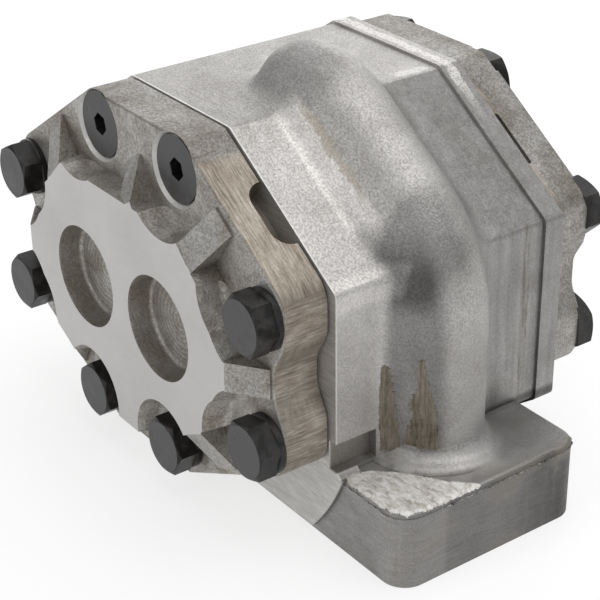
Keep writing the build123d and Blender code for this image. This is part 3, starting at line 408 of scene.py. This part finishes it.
# Outlines in millimetres: y and z for the gates, x and y for the corner.
GATE_FRONT = [
    (-19.8, 49.1), (-19.4, 55.6), (-17.6, 54.2), (-16.6, 47.2), (-16.0, 39.9), (-15.3, 29.0),
    (-15.6, 27.2), (-19.6, 27.6), (-20.0, 40.2),
]
GATE_REAR = [
    (-13.1, 53.1), (-12.6, 57.8), (-11.8, 58.0), (-11.1, 53.5), (-10.5, 48.9), (-9.1, 42.5),
    (-8.5, 35.0), (-8.7, 28.7), (-14.8, 27.6), (-14.5, 33.0), (-13.3, 40.1), (-14.0, 43.0),
    (-12.7, 49.3),
]
TORN_CORNER = [
    (44.6, -33.0), (45.3, -29.0), (46.3, -25.2), (53.1, -18.2), (63.5, -11.6), (70.0, -4.6),
    (70.0, -24.9), (68.7, -30.4), (65.0, -32.7), (61.0, -33.2),
]
FIBRE_DARK = (0.060, 0.045, 0.030)
FIBRE_BROWN = (0.205, 0.172, 0.130)
FIBRE_LIGHT = (0.330, 0.300, 0.262)
TORN_SHADE = (0.50, 0.46, 0.40)
TORN_METAL = (0.82, 0.80, 0.765)
TORN_GLINT = (0.93, 0.92, 0.90)
TORN_DIRT = (0.40, 0.37, 0.32)


def inside(spot, outline):
    """True where a flat point lies within a closed outline."""
    crossings = 0
    for (x0, y0), (x1, y1) in zip(outline, outline[1:] + outline[:1]):
        if (y0 > spot[1]) != (y1 > spot[1]) and spot[0] < x0 + (spot[1] - y0) * (x1 - x0) / (y1 - y0):
            crossings += 1
    return crossings % 2 == 1


def torn_patch(name, outline, along_x, lift, rough, finish, seed):
    """A grid cut to a ragged outline, laid on the casting, roughened and given a thickness."""
    bpy.ops.object.select_all(action="DESELECT")
    low = [min(corner[axis] for corner in outline) * MILLIMETRE for axis in (0, 1)]
    high = [max(corner[axis] for corner in outline) * MILLIMETRE for axis in (0, 1)]
    size = [high[axis] - low[axis] for axis in (0, 1)]
    middle = [(high[axis] + low[axis]) / 2 for axis in (0, 1)]
    if along_x:
        place = (CLEAR_OF_SIDE, middle[0], middle[1])
    else:
        place = (middle[0], middle[1], CLEAR_OF_FOOT)
    cuts = [max(4, round(part / GRID_CELL)) for part in size]
    bpy.ops.mesh.primitive_grid_add(x_subdivisions=cuts[0], y_subdivisions=cuts[1], size=1.0)
    patch = bpy.context.object
    patch.name = name
    patch.scale = (size[0], size[1], 1.0)
    bpy.ops.object.transform_apply(location=False, rotation=False, scale=True)
    if along_x:
        patch.rotation_euler = (pi / 2, 0.0, pi / 2)
    patch.location = place
    bpy.ops.object.transform_apply(location=True, rotation=True, scale=True)
    bpy.ops.object.mode_set(mode="EDIT")
    bpy.ops.mesh.select_all(action="DESELECT")
    bpy.ops.mesh.select_mode(type="FACE")
    bpy.ops.object.mode_set(mode="OBJECT")
    first = 1 if along_x else 0
    for face in patch.data.polygons:
        spot = (face.center[first] / MILLIMETRE, face.center[first + 1] / MILLIMETRE)
        face.select = not inside(spot, outline)
    bpy.ops.object.mode_set(mode="EDIT")
    bpy.ops.mesh.delete(type="FACE")
    bpy.ops.mesh.select_mode(type="VERT")
    bpy.ops.mesh.select_all(action="SELECT")
    bpy.ops.transform.vertex_random(offset=EDGE_WANDER, uniform=1.0, normal=0.0, seed=seed)
    bpy.ops.object.mode_set(mode="OBJECT")
    press = patch.modifiers.new("press", "SHRINKWRAP")
    press.target = nodes["pump_body"]
    press.wrap_method = "PROJECT"
    press.use_project_x, press.use_project_z = along_x, not along_x
    press.use_negative_direction = True
    press.use_positive_direction = False
    press.offset = lift
    bpy.ops.object.modifier_apply(modifier=press.name)
    clouds = bpy.data.textures.new(name + "_tear", "CLOUDS")
    clouds.noise_scale = TEAR_SIZE
    tear = patch.modifiers.new("tear", "DISPLACE")
    tear.texture = clouds
    tear.texture_coords = "LOCAL"
    tear.strength = rough
    tear.mid_level = 0.5
    bpy.ops.object.modifier_apply(modifier=tear.name)
    wall = patch.modifiers.new("wall", "SOLIDIFY")
    wall.thickness = lift + TEAR_ROOT
    wall.offset = -1.0
    bpy.ops.object.modifier_apply(modifier=wall.name)
    bpy.ops.object.mode_set(mode="EDIT")
    bpy.ops.mesh.select_all(action="SELECT")
    bpy.ops.mesh.normals_make_consistent(inside=False)
    bpy.ops.object.mode_set(mode="OBJECT")
    bpy.ops.object.shade_smooth_by_angle(angle=radians(50))
    coat(patch, finish)
    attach(patch, "housing")


torn_brown, torn_shader, start = new_finish("torn_gate_metal")
point = on_pump(start)
fibre = noise(point, 1.1 * MILLIMETRE, 5.0, 0.7, 0.4, (1.0, 1.0, 7.0))
stain = noise(point, 5.0 * MILLIMETRE, 3.0, 0.6, 0.3, (1.0, 1.0, 2.5))
torn_tone = fibre * 0.6 + stain * 0.4
torn_colour = ramp(torn_tone, (0.34, FIBRE_DARK), (0.48, FIBRE_BROWN), (0.66, FIBRE_LIGHT))
feed(torn_shader, "Base Color", torn_colour)
torn_shader.inputs["Metallic"].default_value = 0.45
feed(torn_shader, "Roughness", 0.58 + 0.2 * stain)
emboss(torn_shader, fibre, 0.35 * MILLIMETRE, 0.9)

torn_bright, bright_shader, start = new_finish("bright_torn_skin")
point = on_pump(start)
pluck = noise(point, 1.6 * MILLIMETRE, 5.0, 0.65, 0.8, (2.2, 1.0, 1.0))
dirt = noise(point, 6.0 * MILLIMETRE, 4.0, 0.6, 0.5)
bright_colour = ramp(pluck, (0.33, TORN_SHADE), (0.50, TORN_METAL), (0.64, TORN_GLINT))
feed(bright_shader, "Base Color", blend(ease(dirt, 0.50, 0.72) * 0.55, bright_colour, TORN_DIRT))
bright_shader.inputs["Metallic"].default_value = 0.30
feed(bright_shader, "Roughness", 0.42 + 0.25 * pluck)
emboss(bright_shader, pluck, 0.40 * MILLIMETRE, 0.9)

torn_patch("gate_stub_front", GATE_FRONT, True, GATE_LIFT, FRONT_GATE_ROUGH, torn_brown, seed=4)
torn_patch("gate_stub_rear", GATE_REAR, True, GATE_LIFT, REAR_GATE_ROUGH, torn_brown, seed=9)
torn_patch("torn_foot_corner", TORN_CORNER, False, CORNER_LIFT, CORNER_ROUGH, torn_bright, seed=2)


# ------------------------------------------------------------------ collar and flash on the foot
# A low rounded collar of the same casting goes round the root of the ridge.  Where the two halves
# of the mould met, a thin ragged fin of metal runs round the foot just under its top edge.
RIDGE_AXIS_X = 0.04225
# Radius and height of the collar's section, in millimetres, from the ridge outwards.
COLLAR_PROFILE = [
    (15.0, 31.4), (16.0, 28.6), (17.4, 27.0), (19.0, 26.4),
    (20.4, 26.0), (21.3, 25.2), (21.8, 24.2), (22.0, 22.6),
]
COLLAR_STEPS = 72
COLLAR_WALL = 0.8 * MILLIMETRE
# The collar is not quite round: its lobes, where they start in radians, and their shares.
COLLAR_LOBES = [(3, 0.6, 0.50), (7, 2.0, 0.35)]
COLLAR_WANDER = 0.012
COLLAR_RIPPLE = 0.12 * MILLIMETRE
COLLAR_SINKS_FROM = -0.004
COLLAR_SLOPE = 0.16
FLASH_HEIGHT = 0.02265
FLASH_PROUD = 0.28 * MILLIMETRE
FLASH_RAGGED = 0.32 * MILLIMETRE
FLASH_THICKNESS = 0.35 * MILLIMETRE
FLASH_CUTS = 110
FOOT_HALF = (FOOT_END, 0.03345)
FOOT_CORNER = 0.0075
FOOT_CORNER_CUTS = 10
LONG_SIDE = 0.02

bpy.ops.object.select_all(action="DESELECT")
bpy.ops.mesh.primitive_plane_add(size=0.01)
collar = bpy.context.object
collar.name = "ridge_root_collar"
bpy.ops.object.mode_set(mode="EDIT")
bpy.ops.mesh.select_all(action="SELECT")
bpy.ops.mesh.merge(type="CENTER")
first_radius, first_height = COLLAR_PROFILE[0]
first_point = (RIDGE_AXIS_X + first_radius * MILLIMETRE, 0.0, first_height * MILLIMETRE)
bpy.ops.transform.translate(value=first_point)
for (r0, z0), (r1, z1) in zip(COLLAR_PROFILE, COLLAR_PROFILE[1:]):
    step = ((r1 - r0) * MILLIMETRE, 0.0, (z1 - z0) * MILLIMETRE)
    bpy.ops.mesh.extrude_vertices_move(TRANSFORM_OT_translate={"value": step})
bpy.ops.mesh.select_all(action="SELECT")
bpy.ops.mesh.spin(steps=COLLAR_STEPS, angle=2 * pi, center=(RIDGE_AXIS_X, 0, 0), axis=(0, 0, 1))
bpy.ops.mesh.select_all(action="SELECT")
bpy.ops.mesh.remove_doubles(threshold=0.00002)
bpy.ops.mesh.select_all(action="DESELECT")
bpy.ops.object.mode_set(mode="OBJECT")
for vertex in collar.data.vertices:
    around = atan2(vertex.co.y, vertex.co.x - RIDGE_AXIS_X)
    wave = sum(share * sin(lobes * around + turn) for lobes, turn, share in COLLAR_LOBES)
    reach = 1.0 + COLLAR_WANDER * wave
    sink = max(0.0, vertex.co.y - COLLAR_SINKS_FROM) * COLLAR_SLOPE
    vertex.co = (
        RIDGE_AXIS_X + (vertex.co.x - RIDGE_AXIS_X) * reach,
        vertex.co.y * reach,
        vertex.co.z - sink + COLLAR_RIPPLE * wave,
    )
bpy.ops.object.mode_set(mode="EDIT")
bpy.ops.mesh.select_all(action="SELECT")
bpy.ops.mesh.normals_make_consistent(inside=False)
bpy.ops.object.mode_set(mode="OBJECT")
thick = collar.modifiers.new("wall", "SOLIDIFY")
thick.thickness = COLLAR_WALL
thick.offset = -1.0
bpy.ops.object.modifier_apply(modifier=thick.name)
smooth = collar.modifiers.new("round", "SUBSURF")
smooth.levels = smooth.render_levels = 1
bpy.ops.object.modifier_apply(modifier=smooth.name)
bpy.ops.object.shade_smooth_by_angle(angle=radians(60))
coat(collar, cast_skin)
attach(collar, "housing")

bpy.ops.object.select_all(action="DESELECT")
bpy.ops.mesh.primitive_plane_add(size=2.0, location=(0, 0, FLASH_HEIGHT))
flash = bpy.context.object
flash.name = "foot_flash"
flash.scale = (FOOT_HALF[0], FOOT_HALF[1], 1.0)
bpy.ops.object.transform_apply(location=True, rotation=True, scale=True)
bpy.ops.object.mode_set(mode="EDIT")
bpy.ops.mesh.select_all(action="SELECT")
bpy.ops.mesh.bevel(affect="VERTICES", offset=FOOT_CORNER, segments=FOOT_CORNER_CUTS)
bpy.ops.mesh.delete(type="ONLY_FACE")
bpy.ops.mesh.select_mode(type="EDGE")
bpy.ops.object.mode_set(mode="OBJECT")
corners = [vertex.co.copy() for vertex in flash.data.vertices]
for edge in flash.data.edges:
    edge.select = (corners[edge.vertices[0]] - corners[edge.vertices[1]]).length > LONG_SIDE
bpy.ops.object.mode_set(mode="EDIT")
bpy.ops.mesh.subdivide(number_cuts=FLASH_CUTS)
bpy.ops.mesh.select_all(action="SELECT")
bpy.ops.mesh.extrude_edges_move()
wider = (1.0 + FLASH_PROUD / FOOT_HALF[0], 1.0 + FLASH_PROUD / FOOT_HALF[1], 1.0)
bpy.ops.transform.resize(value=wider, center_override=(0, 0, 0))
bpy.ops.mesh.select_mode(type="VERT")
bpy.ops.transform.vertex_random(offset=FLASH_RAGGED, uniform=1.0, normal=0.0, seed=7)
bpy.ops.object.mode_set(mode="OBJECT")
fin = flash.modifiers.new("wall", "SOLIDIFY")
fin.thickness = FLASH_THICKNESS
fin.offset = 0.0
bpy.ops.object.modifier_apply(modifier=fin.name)
bpy.ops.object.mode_set(mode="EDIT")
bpy.ops.mesh.select_all(action="SELECT")
bpy.ops.mesh.normals_make_consistent(inside=False)
bpy.ops.object.mode_set(mode="OBJECT")
bpy.ops.object.shade_smooth_by_angle(angle=radians(40))
coat(flash, cast_skin)
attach(flash, "housing")


# ------------------------------------------------------------------ bearing blocks and bushes
# The two figure-eight blocks are turned and milled from alloy bar, and float in the gear bore.
# Each has two bushes pressed in, rolled from bronze-faced strip.
BLOCK_DARK = (0.52, 0.51, 0.49)
BLOCK_LIGHT = (0.68, 0.67, 0.65)
BRONZE_DARK = (0.36, 0.23, 0.11)
BRONZE_LIGHT = (0.52, 0.36, 0.19)

block_alloy, block_shader, start = new_finish("turned_alloy")
turned = noise(on_pump(start), 0.5 * MILLIMETRE, 2.0, 0.5, 0.0, (1.0, 8.0, 1.0))
feed(block_shader, "Base Color", blend(ease(turned, 0.3, 0.7), BLOCK_DARK, BLOCK_LIGHT))
block_shader.inputs["Metallic"].default_value = 0.9
feed(block_shader, "Roughness", 0.30 + 0.15 * turned)
emboss(block_shader, turned, 0.05 * MILLIMETRE, 0.3)
for name in ("front_bearing_block", "rear_bearing_block"):
    coat(nodes[name], block_alloy)

bush_bronze, bush_shader, start = new_finish("bush_bronze")
sheen = noise(on_pump(start), 2.0 * MILLIMETRE, 3.0, 0.6)
feed(bush_shader, "Base Color", blend(ease(sheen, 0.3, 0.7), BRONZE_DARK, BRONZE_LIGHT))
bush_shader.inputs["Metallic"].default_value = 0.9
feed(bush_shader, "Roughness", 0.35 + 0.15 * sheen)
for name in ("front_drive_bush", "front_idler_bush", "rear_drive_bush", "rear_idler_bush"):
    coat(nodes[name], bush_bronze)


# ------------------------------------------------------------------ gear shafts, dowels and seal case
# Gear and shaft are one piece of case-hardened steel, ground on the journals and the coupling end,
# with fine turning lines round the axis.  Dowels and the seal's pressed case are bright steel too.
STEEL_DARK = (0.42, 0.42, 0.43)
STEEL_LIGHT = (0.60, 0.60, 0.61)
STEEL_FILM = (0.30, 0.27, 0.23)

steel, steel_shader, start = new_finish("ground_steel")
point = on_pump(start)
turned = noise(point, 0.4 * MILLIMETRE, 2.0, 0.5, 0.0, (30.0, 1.0, 30.0))
haze = noise(point, 8 * MILLIMETRE, 3.0, 0.5)
film = noise(point, 3 * MILLIMETRE, 4.0, 0.6, 0.4)
steel_colour = blend(ease(turned * 0.5 + haze * 0.5, 0.35, 0.65), STEEL_DARK, STEEL_LIGHT)
feed(steel_shader, "Base Color", blend(ease(film, 0.58, 0.75) * 0.4, steel_colour, STEEL_FILM))
steel_shader.inputs["Metallic"].default_value = 1.0
feed(steel_shader, "Roughness", 0.24 + 0.15 * haze)
emboss(steel_shader, turned, 0.05 * MILLIMETRE, 0.25)
for name in (
    "drive_gear_shaft", "idler_gear_shaft", "shaft_seal_case", "front_dowel_pins", "rear_dowel_pins",
):
    coat(nodes[name], steel)


# ------------------------------------------------------------------ rubber seals
# Moulded nitrile rings in the joint faces, in the bearing blocks, round both ports and on the
# drive shaft, laid in their grooves before the covers go on.
RUBBER_BLACK = (0.012, 0.012, 0.012)
RUBBER_BLOOM = (0.035, 0.034, 0.033)

rubber, rubber_shader, start = new_finish("nitrile_rubber")
bloom = noise(on_pump(start), 3.0 * MILLIMETRE, 4.0, 0.6)
feed(rubber_shader, "Base Color", blend(ease(bloom, 0.4, 0.75), RUBBER_BLACK, RUBBER_BLOOM))
feed(rubber_shader, "Roughness", 0.50 + 0.2 * bloom)
for name in (
    "front_block_seal", "rear_block_seal", "front_face_seal", "rear_face_seal",
    "suction_port_seal", "pressure_port_seal", "shaft_seal_lip",
):
    coat(nodes[name], rubber)


# ------------------------------------------------------------------ front and rear covers
# Two more sand castings, browner than the body and bolted to its two joints.  The front one carries a
# raised star that is faced flat; both have their rims milled, and dirt has settled in the hollows.
front_low, front_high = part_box("front_cover")
COVER_MIDDLE = (front_low.x + front_high.x) / 2
STAR_PLANE = front_low.y
PAD_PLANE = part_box("front_washers")[1].y
GEAR_AXES = [sum(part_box(name), Vector()) / 2 for name in ("drive_gear_shaft", "idler_gear_shaft")]
RIM_FROM_JOINT = (0.0300, 0.0320)
RIM_FROM_MIDDLE = (0.030, 0.034)
RECESS_RADIUS = 0.0160
RECESS_BOTTOM = (-0.046, -0.049)
# The tool's rings, in radians for each metre of radius, and how far they wander.
TOOL_MARKS = 3600.0
TOOL_WANDER = 9.0
SCREW_HEAD_RADIUS = 0.0100
SEAT_RADIUS = 0.0114
screws_low, screws_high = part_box("front_countersunk_screws")
SCREW_PLACES = [
    (screws_low.x + SCREW_HEAD_RADIUS, screws_high.z - SCREW_HEAD_RADIUS),
    (screws_high.x - SCREW_HEAD_RADIUS, screws_high.z - SCREW_HEAD_RADIUS),
]
COVER_DARK = (0.300, 0.272, 0.232)
COVER_MID = (0.415, 0.395, 0.365)
COVER_LIGHT = (0.520, 0.505, 0.485)
SOOT_BROWN = (0.205, 0.165, 0.115)
RIB_GREY = (0.44, 0.435, 0.43)
RIM_DARK = (0.190, 0.160, 0.125)
RIM_MID = (0.345, 0.302, 0.252)
RIM_LIGHT = (0.500, 0.457, 0.400)
STAR_DARK = (0.470, 0.458, 0.450)
STAR_LIGHT = (0.535, 0.522, 0.512)
SEAT_METAL = (0.62, 0.61, 0.59)
RECESS_SHADE = (0.215, 0.190, 0.155)

cover_skin, cover_shader, start = new_finish("cast_aluminium_covers")
point = on_pump(start)
x, y, z = parts_of(point)
nx, ny, nz = parts_of(facing(start))
grain = noise(point, 0.7 * MILLIMETRE, 3.0, 0.62)
wrinkle = noise(point, 1.8 * MILLIMETRE, 3.0, 0.6, 1.2)
cloud = noise(point, 11 * MILLIMETRE, 5.0, 0.6, 0.5)
soot = noise(point, 4.0 * MILLIMETRE, 4.0, 0.65, 0.6)
speckle = ease(grain, 0.38, 0.62)
flat_on = ny.math("ABSOLUTE", ny)

# The cast skin, dirty in the hollows of the star, with painted light on the hollows' walls and
# painted shade on the upward faces, and rubbed on its ribs.
cover_colour = ramp(cloud, (0.34, COVER_DARK), (0.50, COVER_MID), (0.66, COVER_LIGHT))
hollow = ease(y, PAD_PLANE + 0.0008, PAD_PLANE - 0.0006) * ease(flat_on, 0.93, 0.60)
hollow = hollow * ease(y, STAR_PLANE - 0.00065, STAR_PLANE + 0.00015)
cover_colour = blend(hollow * ease(soot, 0.46, 0.64) * 0.32, cover_colour, SOOT_BROWN)
# Painted light and shade: the walls of the hollows are lightened and the upward faces darkened.
cover_colour = shade(cover_colour, 1.0 + hollow * 0.28 - ease(nz, 0.30, 0.70) * 0.26)
rib_top = ease(y, PAD_PLANE - 0.00125, PAD_PLANE - 0.00245) * ease(ny, -0.55, -0.90)
cover_colour = blend(rib_top * 0.55, cover_colour, RIB_GREY)
pits = (1.0 - speckle) * 0.26 + (1.0 - ease(wrinkle, 0.38, 0.48)) * 0.12
cover_colour = shade(cover_colour, 1.0 - pits)

# The milled rims, with cutter lines that run along each face.
depth = y.math("ABSOLUTE", y)
outer = ease(depth, *RIM_FROM_JOINT) * ease(x.math("ABSOLUTE", x - COVER_MIDDLE), *RIM_FROM_MIDDLE)
rim = ease(flat_on, 0.28, 0.10) * outer * ease(depth, 0.00055 - PAD_PLANE, -0.00015 - PAD_PLANE)
slope_lines = noise(point, 0.50 * MILLIMETRE, 4.0, 0.62, 0.2, (14.0, 1.0, 14.0))
across_lines = noise(point, 0.55 * MILLIMETRE, 4.0, 0.62, 0.2, (1.0, 12.0, 1.0))
upright = ease(nx.math("ABSOLUTE", nx), 0.80, 0.95)
rim_lines = slope_lines * (1.0 - upright) + across_lines * upright
rim_tone = rim_lines * 0.62 + cloud * 0.38
rim_colour = ramp(rim_tone, (0.36, RIM_DARK), (0.50, RIM_MID), (0.62, RIM_LIGHT))
cover_colour = blend(rim, cover_colour, rim_colour)

# The faced star.
star = ease(y, STAR_PLANE + 0.0003, STAR_PLANE + 0.0001) * ease(ny, -0.97, -0.995)
star_lines = noise(point, 0.35 * MILLIMETRE, 2.0, 0.5, 0.0, (14.0, 1.0, 1.0))
star_cloud = noise(point, 26 * MILLIMETRE, 3.0, 0.5)
star_tone = ease(star_cloud * 0.7 + star_lines * 0.3, 0.3, 0.7)
cover_colour = blend(star, cover_colour, blend(star_tone, STAR_DARK, STAR_LIGHT))

# The turned seats of the two sunk screws.
turned_seat = 0.0
for screw_x, screw_z in SCREW_PLACES:
    across, up = x - screw_x, z - screw_z
    radius = across.math("SQRT", across * across + up * up)
    inwards = ease(across * nx + up * nz, 0.0, -0.002)
    seat = ease(radius, SEAT_RADIUS + 0.0002, SEAT_RADIUS - 0.0002) * inwards
    turned_seat = seat * ease(y, FRONT_JOINT + 0.00075, FRONT_JOINT - 0.00225) + turned_seat
cover_colour = blend(turned_seat, cover_colour, SEAT_METAL)

# The two bored recesses, on the axes of the gears, with the rings that the tool left.
recess = 0.0
rings = 0.0
for axis in GEAR_AXES:
    across, up = x - axis.x, z - axis.z
    radius = across.math("SQRT", across * across + up * up)
    recess = ease(radius, RECESS_RADIUS + 0.0002, RECESS_RADIUS - 0.0002) + recess
    swirl = point.math("SINE", radius * TOOL_MARKS + cloud * TOOL_WANDER)
    rings = ease(radius, RECESS_RADIUS - 0.0010, RECESS_RADIUS - 0.0030) * swirl + rings
recess = recess * ease(y, STAR_PLANE + 0.0002, STAR_PLANE + 0.0008) * ease(y, *RECESS_BOTTOM)
recess_wall = recess * ease(flat_on, 0.80, 0.40)
cover_colour = blend(recess_wall * 0.50, cover_colour, RECESS_SHADE)
cover_colour = shade(cover_colour, 1.0 + recess * (rings * 0.10 + 0.02))

feed(cover_shader, "Base Color", cover_colour)
cover_shader.inputs["Metallic"].default_value = 0.78
feed(cover_shader, "Roughness", 0.46 + 0.16 * (1.0 - speckle) * (1.0 - star) - 0.03 * star)
relief = (grain * 0.4 + wrinkle * 0.55 + cloud) * (1.0 - star) * (1.0 - rim * 0.8)
relief = relief + rim * rim_lines * 0.55 + star * star_lines * 0.03 + recess * rings * 0.12
emboss(cover_shader, relief, 0.40 * MILLIMETRE, 0.7)
for name in ("front_cover", "rear_cover"):
    coat(nodes[name], cover_skin)


# ------------------------------------------------------------------ black fasteners
# Hexagon bolts with their washers, and flat-head socket screws, hold both covers to the body.  They
# and the seal's spring ring are hardened steel with an oily black oxide skin, rubbed and browned.
OXIDE_BLACK = (0.012, 0.011, 0.010)
OXIDE_RUBBED = (0.092, 0.090, 0.092)
OXIDE_BROWN = (0.062, 0.040, 0.027)

oxide, oxide_shader, start = new_finish("black_oxide_steel")
point = on_pump(start)
nx, ny, nz = parts_of(facing(start))
fine = noise(point, 0.7 * MILLIMETRE, 3.0, 0.6)
patch = noise(point, 6 * MILLIMETRE, 4.0, 0.6, 0.6)
on_end = ease(ny, -0.90, -0.97)
rubbed = ease(patch, 0.40, 0.70) * 0.4 + on_end * 0.55
browned = ease(fine * 0.5 + patch * 0.5, 0.56, 0.66) * 0.6
oxide_colour = blend(browned, blend(rubbed, OXIDE_BLACK, OXIDE_RUBBED), OXIDE_BROWN)
feed(oxide_shader, "Base Color", oxide_colour)
oxide_shader.inputs["Metallic"].default_value = 0.25
oxide_shader.inputs["Specular IOR Level"].default_value = 0.32
feed(oxide_shader, "Roughness", 0.30 + 0.22 * ease(patch, 0.3, 0.7))
emboss(oxide_shader, fine + patch * 1.5, 0.15 * MILLIMETRE, 0.45)
for name in (
    "front_hex_bolts", "front_washers", "front_countersunk_screws", "rear_hex_bolts",
    "seal_retaining_ring",
):
    coat(nodes[name], oxide)
